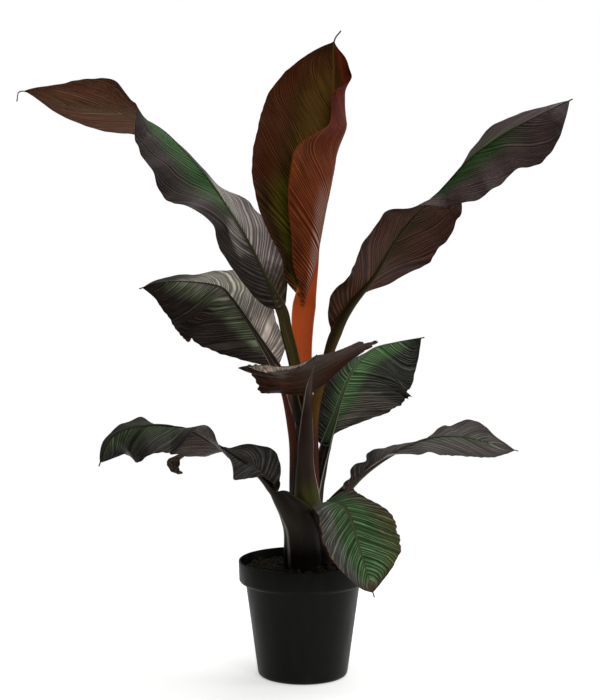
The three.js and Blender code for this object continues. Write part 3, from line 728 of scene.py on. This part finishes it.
def grow_leaf(**sizes):
    """One leaf: its stalk with the rib, and then its blade, which is returned.

    A station holds a place on the centre line, the degrees that the left and the right half turn about it
    and, where they curl, the further degrees out to each margin and how near to the rib the curl comes.
    A nick holds its side, 0 for left, its place along the blade, its depth and its width, as shares. With a
    negative depth it is a lobe."""
    leaf = SimpleNamespace(**{**LEAF_HABIT, **sizes})
    line = leaf_line(leaf.stations, leaf.facing)
    per_step = (len(leaf.stations) - 1) / SOLID_STEPS
    start = np.interp(np.ceil(leaf.blade_from / per_step) * per_step, line.station, line.length)
    grow_rib(leaf, line, start)
    return grow_blade(leaf, line, start)


# Crown leaf. The youngest leaf stands upright in the middle, its right half still rolled over the left one.
# It is thin: olive and bronze above, orange-red below and on its stalk, with a wiry tip.
grow_leaf(
    name="crown",
    stations=(
        (5, 6, 389, 0, 0), (1, 10, 496, 0, 0), (-1, 14, 560, 0, 0), (2, 18, 608, 0, 0, 10, -175, 3),
        (15, 20, 682, 0, 0, 15, -175, 3), (25, 22, 760, 0, 0, 15, -175, 3), (37, 24, 844, 0, 8, 15, -180, 3),
        (46, 22, 908, 0, 25, 15, -210, 1.2), (48, 20, 950, 0, 15, 13, -215, 1),
        (49, 17, 985, 0, 10, 10, -90, 1), (50, 14, 1032, 0, -20), (61, 10, 1050, 0, -20),
    ),
    half_width=(122, 112), widest=0.57, foot_power=1.3, tip_power=3.8, stalk_half=(14, 14, 19), tail=22,
    nicks=(
        (1, 0.72, 0.42, 0.1), (1, 0.88, 0.5, 0.1), (1, 0.94, 0.4, 0.03), (1, 0.1, -0.5, 0.09),
        (0, 0.7, 0.05, 0.15), (0, 0.83, 0.06, 0.06), (0, 0.05, -0.9, 0.06),
    ),
    wave=(0, 3), ruffle=0.8, ragged=0.003, foot_cover=0.3, veins=64, sweep=1.7, pleat=0.3,
    blade_slot="young_leaf", stalk_slot="young_stalk",
    upper=blade_finish(
        "young_leaf_upper", "46240a", "403608", "a88042", "4c2214", near_reach=0.95, near_span=(0.05, 0.8),
        fine=1.9, zone_softness=0.15,
        zones=(
            ("5a2812", (-1.1, -0.62), (0.38, 0.95), 0.7), ("1e2004", (-0.97, -0.8), (0.0, 0.42), 0.85),
            ("585408", (-0.72, -0.1), (0.04, 0.42), 0.85), ("7c4c3e", (-1.1, -0.98), (0.0, 0.55), 0.6),
            ("8c3418", (0.3, 1.1), (0.7, 1.0), 0.7), ("7c5420", (-0.4, 0.0), (0.5, 0.82), 0.5),
            ("a84c1c", (-1.2, 1.2), (-0.2, 0.03), 0.9),
        ),
    ),
    under=blade_finish(
        "young_leaf_under", "843c18", "8a4420", "d09078", "7c3414", near_reach=0.6, pale_share=0.2, fine=1.9,
        # The pale pink hatch near the fold is a painted highlight on the vein lines.
        zone_softness=0.1, hatch=("e0b0a0", (0.3, 0.52), (0.05, 0.42)),
        zones=(
            ("a05846", (0.0, 0.3), (0.0, 0.75), 0.45), ("c0641e", (0.88, 1.1), (0.46, 0.64), 0.7),
            ("5c1c26", (0.0, 1.1), (0.62, 0.9), 0.7), ("5e2c16", (0.0, 1.1), (0.5, 0.64), 0.6),
        ),
    ),
    stalk=stalk_finish(
        "young_stalk", "dc602a", "d65a24", "d88a58", "54420e", back="c45c20", foot="a8481c",
        rib_from=(0.3, 0.6),
    ),
)

# Upper left leaf. A full-grown blade that arches out to the left and turns over at a waist, so that its end
# shows the maroon underside. It is charcoal with green by the rib, and ends in a hooked thread. Pale grey
# patches by its foot are painted sheen where it faces the light, and a dark patch on the outer left of its
# foot is painted shade.
grow_leaf(
    name="upper_left",
    stations=(
        (0, -2, 424, 90, 90), (-10, -9, 506, 50, 50), (-26, -8, 571, 40, 40), (-34, -2, 603, 10, 50, 55),
        (-60, 12, 655, 10, 45, 60), (-91, 34, 714, 15, 38, 55), (-126, 62, 769, 46, 60),
        (-159, 88, 815, 10, 78), (-196, 112, 855, 36, 75), (-232, 130, 889, 52, 85),
        (-271, 142, 909, 92, 102), (-330, 148, 921, 126, 106), (-395, 150, 931, 152, 104),
        (-465, 150, 953, 160, 100), (-476, 150, 936, 160, 100),
    ),
    half_width=(80, 78), widest=0.5, foot_power=0.4, tip_power=2.5, stalk_half=(16, 11, 10), tail=24,
    nicks=((1, 0, 0.3, 0.05), (0, 0.26, 0.35, 0.055), (1, 0.45, 0.35, 0.12)),
    wave=(5, 3), veins=60, sweep=1.5, rib_drop=(0.7, 0.08),
    upper=blade_finish(
        "upper_left_leaf_upper", "3a3230", "285420", "a89c9c", "241a18", near_reach=0.6,
        near_span=(0.3, 0.72),
        # Zones 948c88 and 8a837c are painted sheen where the blade faces the light; 1c120a is painted shade
        # on the outer left of the foot.
        zones=(
            ("1c120a", (-1.2, -0.4), (-0.2, 0.27), 0.95), ("948c88", (0.05, 1.1), (0.1, 0.42), 0.7),
            ("382a12", (0.0, 1.1), (-0.1, 0.1), 0.95), ("8a837c", (-0.42, -0.05), (0.16, 0.27), 0.65),
            ("1e180f", (-0.5, -0.05), (-0.1, 0.14), 0.8),
        ),
    ),
    under=blade_finish("upper_left_leaf_under", "70442f", "604026", "b89a80", "4a281e", pale_share=0.25),
    stalk=stalk_finish(
        "upper_left_stalk", "382e0a", "443a0c", "7a6c3c", "222a0e", foot="2c1d12", foot_reach=0.09,
        dark_and_shade_bands=((-1.2, -0.5, 0.03),),
    ),
)

# Upper right leaf. It arches out to the right, first with its purple-brown underside forward and then, past a
# twist, with its upper face: green by the rib, purple-grey further out.
grow_leaf(
    name="upper_right",
    stations=(
        (11, -3, 312, 270, 270), (13, -2, 430, 270, 270), (31, -4, 509, 262, 262), (52, -10, 567, 255, 205),
        (76, -18, 611, 250, 210), (114, -32, 661, 232, 232), (146, -48, 718, 195, 236),
        (170, -58, 750, 195, 220), (197, -72, 780, 215, 243), (224, -86, 809, 258, 290),
        (257, -100, 847, 268, 304), (296, -112, 878, 271, 324), (336, -122, 903, 273, 348),
        (414, -140, 943, 271, 360),
    ),
    half_width=(77, 90), widest=0.6, foot_power=0.6, tip_power=3.4, stalk_half=(16, 13, 11), tail=5,
    nicks=(
        (0, 0.07, 1, 0.1), (0, 0.22, -0.2, 0.08), (1, 0.4, 0.25, 0.06), (1, 0.51, 0.5, 0.07),
        (1, 0.76, 0.3, 0.07),
    ),
    wave=(6, 3), veins=56, sweep=1.3,
    upper=blade_finish(
        "upper_right_leaf_upper", "443432", "1c4414", "9a8c8c", "2a1c18", near_reach=0.6,
        # The pale zone at the tip is a painted sheen where it faces the light.
        near_span=(0.4, 0.8), zones=(("a89c9c", (-1.1, 1.1), (0.93, 1.1), 0.6),),
    ),
    under=blade_finish(
        "upper_right_leaf_under", "462b23", "3c2c1a", "8a6a56", "341c16", specular=0.08,
        zones=(("46270f", (-1.1, 1.1), (-0.1, 0.2), 0.8),),
    ),
    stalk=stalk_finish(
        "upper_right_stalk", "352a12", "403412", "6c4a34", "2c210c", foot="5c3c0a", foot_reach=0.33,
        toe="42201a",
    ),
)

# Middle left leaf. It leans back and droops to the left, upper face forward, with a withered and curled tip.
# Charcoal brown with green by the rib; the half above the rib, where it faces the light, is painted paler as
# a painted sheen.
grow_leaf(
    name="mid_left",
    stations=(
        (-6, 4, 296, 90, 90), (-9, 8, 390, 90, 90), (-23, 22, 461, 70, 70), (-41, 36, 499, 20, 35),
        (-67, 52, 541, 5, 36), (-95, 70, 582, 0, 46), (-119, 86, 614, 0, 47), (-139, 100, 631, 0, 44),
        (-190, 126, 637, 0, 49), (-239, 142, 634, 0, 44), (-275, 150, 623, 10, 40),
    ),
    half_width=(106, 85), widest=0.58, foot_power=1.1, tip_power=1.8, stalk_half=(16, 14, 10),
    nicks=((1, 0.08, -0.6, 0.08),), wave=(4, 3), veins=40,
    upper=blade_finish(
        "mid_left_leaf_upper", "281f1b", "2c4222", "a89c94", "241a15", near_reach=0.4, near_span=(0.1, 0.85),
        zone_softness=0.14,
        # The pale grey zones above the rib are painted sheen where that half faces the light.
        zones=(
            ("aca298", (0.1, 1.1), (0.0, 0.36), 0.75), ("6e785c", (-0.32, 0.05), (0.12, 0.8), 0.7),
            ("b4b0a0", (-0.12, 1.1), (0.4, 0.75), 0.7), ("35302e", (-1.1, 1.1), (0.96, 1.1), 0.8),
        ),
    ),
    under=blade_finish("mid_left_leaf_under", "4d3026", "43301e", "7a5c48", "2c1812"),
    stalk=stalk_finish(
        "mid_left_stalk", "5e2e22", "6a3828", "b8aa9c", "241c12", foot="4c241a", foot_reach=0.2, toe="341c14",
    ),
)

# Middle right leaf. A broad blade behind the stem that shows its upper face, strongly pleated.
# It is green by the rib and almost black in its lower half.
grow_leaf(
    name="mid_right", blade_from=2,
    stations=(
        (14, 0, 275, -60, -60), (25, 10, 331, -50, -50), (36, 18, 374, -40, -30), (51, 30, 417, -55, -5),
        (63, 48, 452, -52, 0), (76, 66, 482, -50, 0), (92, 86, 507, -60, 0), (118, 106, 527, -72, 0),
        (156, 126, 535, -75, 5), (205, 148, 541, -75, 10),
    ),
    half_width=(82, 104), widest=0.62, foot_power=0.6, tip_power=2.4, stalk_half=(17, 13, 10),
    nicks=((1, 0, 1, 0.2),), wave=(2, 3), pleat=0.45,
    upper=blade_finish(
        "mid_right_leaf_upper", "161210", "385a30", "b0b8a4", "1b1513", near_span=(0.15, 0.85),
        pale_share=0.24, fine=1.3, specular=0.05,
        zones=(("544842", (0.3, 1.1), (0.1, 0.5), 0.5), ("0c0a09", (0.25, 1.1), (0.38, 0.95), 0.9)),
    ),
    under=blade_finish("mid_right_leaf_under", "47291f", "3c2b1c", "6c5040", "2a1812"),
    stalk=stalk_finish("mid_right_stalk", "2a2220", "33251f", "a0988c", "3a4c30"),
)

# Front leaf. It rises in front of the stem and bends towards the viewer, so that its brown underside shows.
# Both ends of its margin are withered and ragged, and the left margin rolls over in a strip painted light tan
# on the underside, a painted highlight for the rolled top lit from above.
grow_leaf(
    name="front", facing=(0, 1, 0),
    stations=(
        (8, -12, 280, 0, 0), (4, -29, 352, 0, 0), (6, -37, 425, 0, 0), (8, -48, 470, 36, 18),
        (12, -84, 502, 32, 26, 0, -10), (16, -150, 527, 27, 26, 0, -52), (18, -225, 549, 24, 48, 0, -76),
        (20, -300, 567, 20, 62, 0, -60),
    ),
    half_width=(106, 104), widest=0.45, foot_power=0.6, tip_power=2, stalk_half=(22, 13, 7),
    nicks=((1, 0.37, -0.2, 0.025), (1, 0.28, 0.06, 0.05)), wave=(4, 3), ragged=0.02, veins=32,
    upper=blade_finish("front_leaf_upper", "4a3a32", "3c4a2a", "8c7f74", "3a2c22"),
    under=blade_finish(
        "front_leaf_under", "2c1408", "2c1a0a", "6c5240", "3a2c22", zone_softness=0.03, specular=0.06,
        # The light tan zone by the margin is a painted highlight: the rolled-over margin lit from above.
        zones=(
            ("b09e8a", (0.74, 1.1), (0.44, 0.98), 0.85), ("2c2320", (0.88, 1.1), (0.33, 0.44), 0.7),
            ("3e2620", (-1.1, -0.2), (0.3, 1.1), 0.6),
        ),
    ),
    stalk=stalk_finish(
        "front_stalk", "36261f", "2c211a", "84584a", "43332a", foot="42441a",
        lines=((-0.8, "cebeb0", 0.03), (0.72, "c0b0a2", 0.26)),
    ),
)

# Low right leaf. A narrow, wind-torn blade that reaches out to the right with a scalloped upper margin.
# It is a dull grey-brown, with some green by its rib towards the end.
grow_leaf(
    name="low_right", blade_from=2,
    stations=(
        (4, 4, 225, -90, -90), (36, 14, 276, -90, -90), (66, 26, 302, -60, -88), (94, 40, 325, -55, -95),
        (127, 56, 345, -58, -95), (172, 78, 366, -76, -65), (216, 98, 378, -88, -46),
        (262, 114, 377, -60, -44), (308, 130, 365, -30, -45), (365, 148, 347, -40, -50),
    ),
    half_width=(58, 56), widest=0.7, foot_power=0.6, tip_power=2, stalk_half=(19, 14, 12),
    nicks=((0, 0.07, 0.5, 0.025), (0, 0.19, 0.4, 0.025), (0, 0.9, 0.3, 0.08)),
    wave=(0.5, 4), ruffle=1, veins=34,
    upper=blade_finish(
        "low_right_leaf_upper", "4a4340", "3c4636", "a09a96", "231a16", near_reach=0.4, near_span=(0.4, 0.85),
    ),
    under=blade_finish("low_right_leaf_under", "432c24", "3c2e20", "6c5846", "2a1812"),
    stalk=stalk_finish("low_right_stalk", "2a211c", "30261f", "6a3a30", "2e2a1c"),
)

# Low front leaf. The oldest leaf hangs over the pot's rim towards the viewer: a broad green blade with pale
# veins and a thin rusty margin.
grow_leaf(
    name="low_front", facing=(-0.4, 1, 0.3),
    stations=(
        (24, 0, 192, 0, 0), (25, -22, 256, 0, 0), (28, -48, 290, 15, 0), (37, -70, 301, 26, 0),
        (60, -118, 306, 20, 0), (74, -140, 290, 8, 0), (86, -153, 252, 0, 0), (98, -158, 212, 0, 0),
        (112, -158, 166, 0, 0),
    ),
    half_width=(77, 58), widest=0.58, foot_power=0.5, tip_power=3, stalk_half=(18, 17, 9), tail=8,
    nicks=((0, 0.26, 0.42, 0.15), (1, 0.82, 0.3, 0.14)), wave=(3, 3), veins=30,
    upper=blade_finish(
        "low_front_leaf_upper", "2a441e", "244a1a", "c0ccb4", "5c2e20", near_reach=1.1, near_span=(0.1, 0.95),
        pale_share=0.22, fine=1.1, zone_softness=0.2,
        zones=(
            ("504e4b", (0.5, 1.2), (-0.3, 0.95), 0.9), ("3a2a1e", (-1.2, -0.66), (0.1, 0.56), 0.9),
            ("4c4c16", (-1.1, -0.6), (0.4, 0.95), 0.5), ("2a2018", (-1.4, 1.4), (0.88, 1.4), 0.8),
            ("7c3a26", (-1.1, 1.1), (0.98, 1.1), 0.8),
        ),
    ),
    under=blade_finish("low_front_leaf_under", "4c3226", "44341f", "74604a", "86402a"),
    stalk=stalk_finish("low_front_stalk", "26211c", "2a251d", "4c4038", "3a4426", foot="16140f"),
)

# Low left leaf. Its broad sheath wraps the front of the stem and its blade reaches out to the left, edge on
# and torn, with the greyish green upper face showing at its drooping end.
low_left_blade = grow_leaf(
    name="low_left",
    stations=(
        (0, -14, 191, 165, 165), (-5, -30, 262, 157, 157), (-32, -36, 304, 138, 138),
        (-46, -38, 323, 110, 14), (-76, -52, 355, 76, 20), (-104, -66, 375, 64, 108),
        (-135, -82, 394, 103, 146), (-180, -102, 422, 132, 162), (-215, -115, 432, 74, 130),
        (-248, -124, 433, 72, 100), (-283, -134, 427, 40, 97), (-306, -140, 408, 0, 100),
        (-319, -144, 372, 0, 100),
    ),
    half_width=(58, 63), widest=0.6, foot_power=0.4, tip_power=5.5, stalk_half=(31, 29, 15),
    nicks=((0, 0, 0.9, 0.13), (1, 0.85, 0.7, 0.2), (1, 0.17, 0.3, 0.04), (1, 0.3, 0.2, 0.05)),
    wave=(0.5, 4), veins=38,
    upper=blade_finish(
        "low_left_leaf_upper", "363430", "34422b", "6e6c66", "231a16", near_reach=0.7, near_span=(0.5, 0.95),
    ),
    under=blade_finish("low_left_leaf_under", "33231c", "30231a", "6a584a", "2a1812"),
    stalk=stalk_finish(
        "low_left_stalk", "26211c", "2a251d", "3a302a", "2e2a20", foot="16140f", foot_reach=0.18,
        # Its softer dark band, from -1.5 to -0.45 round the stalk, is painted shade on the sheath.
        specular=0.08, lines=((0.3, "8c8278", 0.02),), dark_and_shade_bands=((0.32, 1.3, 0.03), (-1.5, -0.45, 0.4)),
    ),
)

# Dry shred of the low left leaf. A strip of withered blade, torn off along a vein and hanging from the lower
# margin by one corner, rolled up at its end.
SHRED_HANG = (-193, 374)  # where on the margin, seen from the front
SHRED_PATH = (  # across, up, half width
    (3, 3, 3), (-9, -4, 5), (-16, -12, 11), (-14, -20, 8), (-8, -26, 3.5), (-1, -27, 1.5),
)
SHRED_ROWS, SHRED_SIDES, SHRED_HALF_THICKNESS = 30, 18, 0.4

margin = [1000 * vertex.co for vertex in low_left_blade.data.vertices]
margin = [spot for spot in margin if abs(spot.x - SHRED_HANG[0]) < 4]
hang = min(margin, key=lambda spot: abs(spot.z - SHRED_HANG[1]))
steps = np.linspace(0, len(SHRED_PATH) - 1, SHRED_ROWS + 1)
across, up, half = (smooth_between(np.array(SHRED_PATH, float)[:, k], steps) for k in range(3))
slope = np.stack([np.gradient(across), np.gradient(up)], 1)
slope /= np.linalg.norm(slope, axis=1, keepdims=True)
shred_points = []
for i, (sx, sz) in enumerate(slope):
    for k in range(SHRED_SIDES):
        turn = 2 * pi * k / SHRED_SIDES
        reach, lift = half[i] * cos(turn), SHRED_HALF_THICKNESS * sin(turn)
        bow = 0.05 * reach * reach - 0.25 * reach - 6 * sin(0.16 * i)
        x, z = hang.x + across[i] - sz * reach, hang.z + up[i] + sx * reach
        shred_points.append((x, hang.y - bow + lift, z))
dry_finish = rough_finish("dry_shred", 0.12, 300, "30261e", "5e5246", (0.6, 0.85), 0.0006)
shred = new_piece("dry_shred", shred_points, tube_faces(SHRED_ROWS, SHRED_SIDES), [dry_finish])
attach(shred, "root")
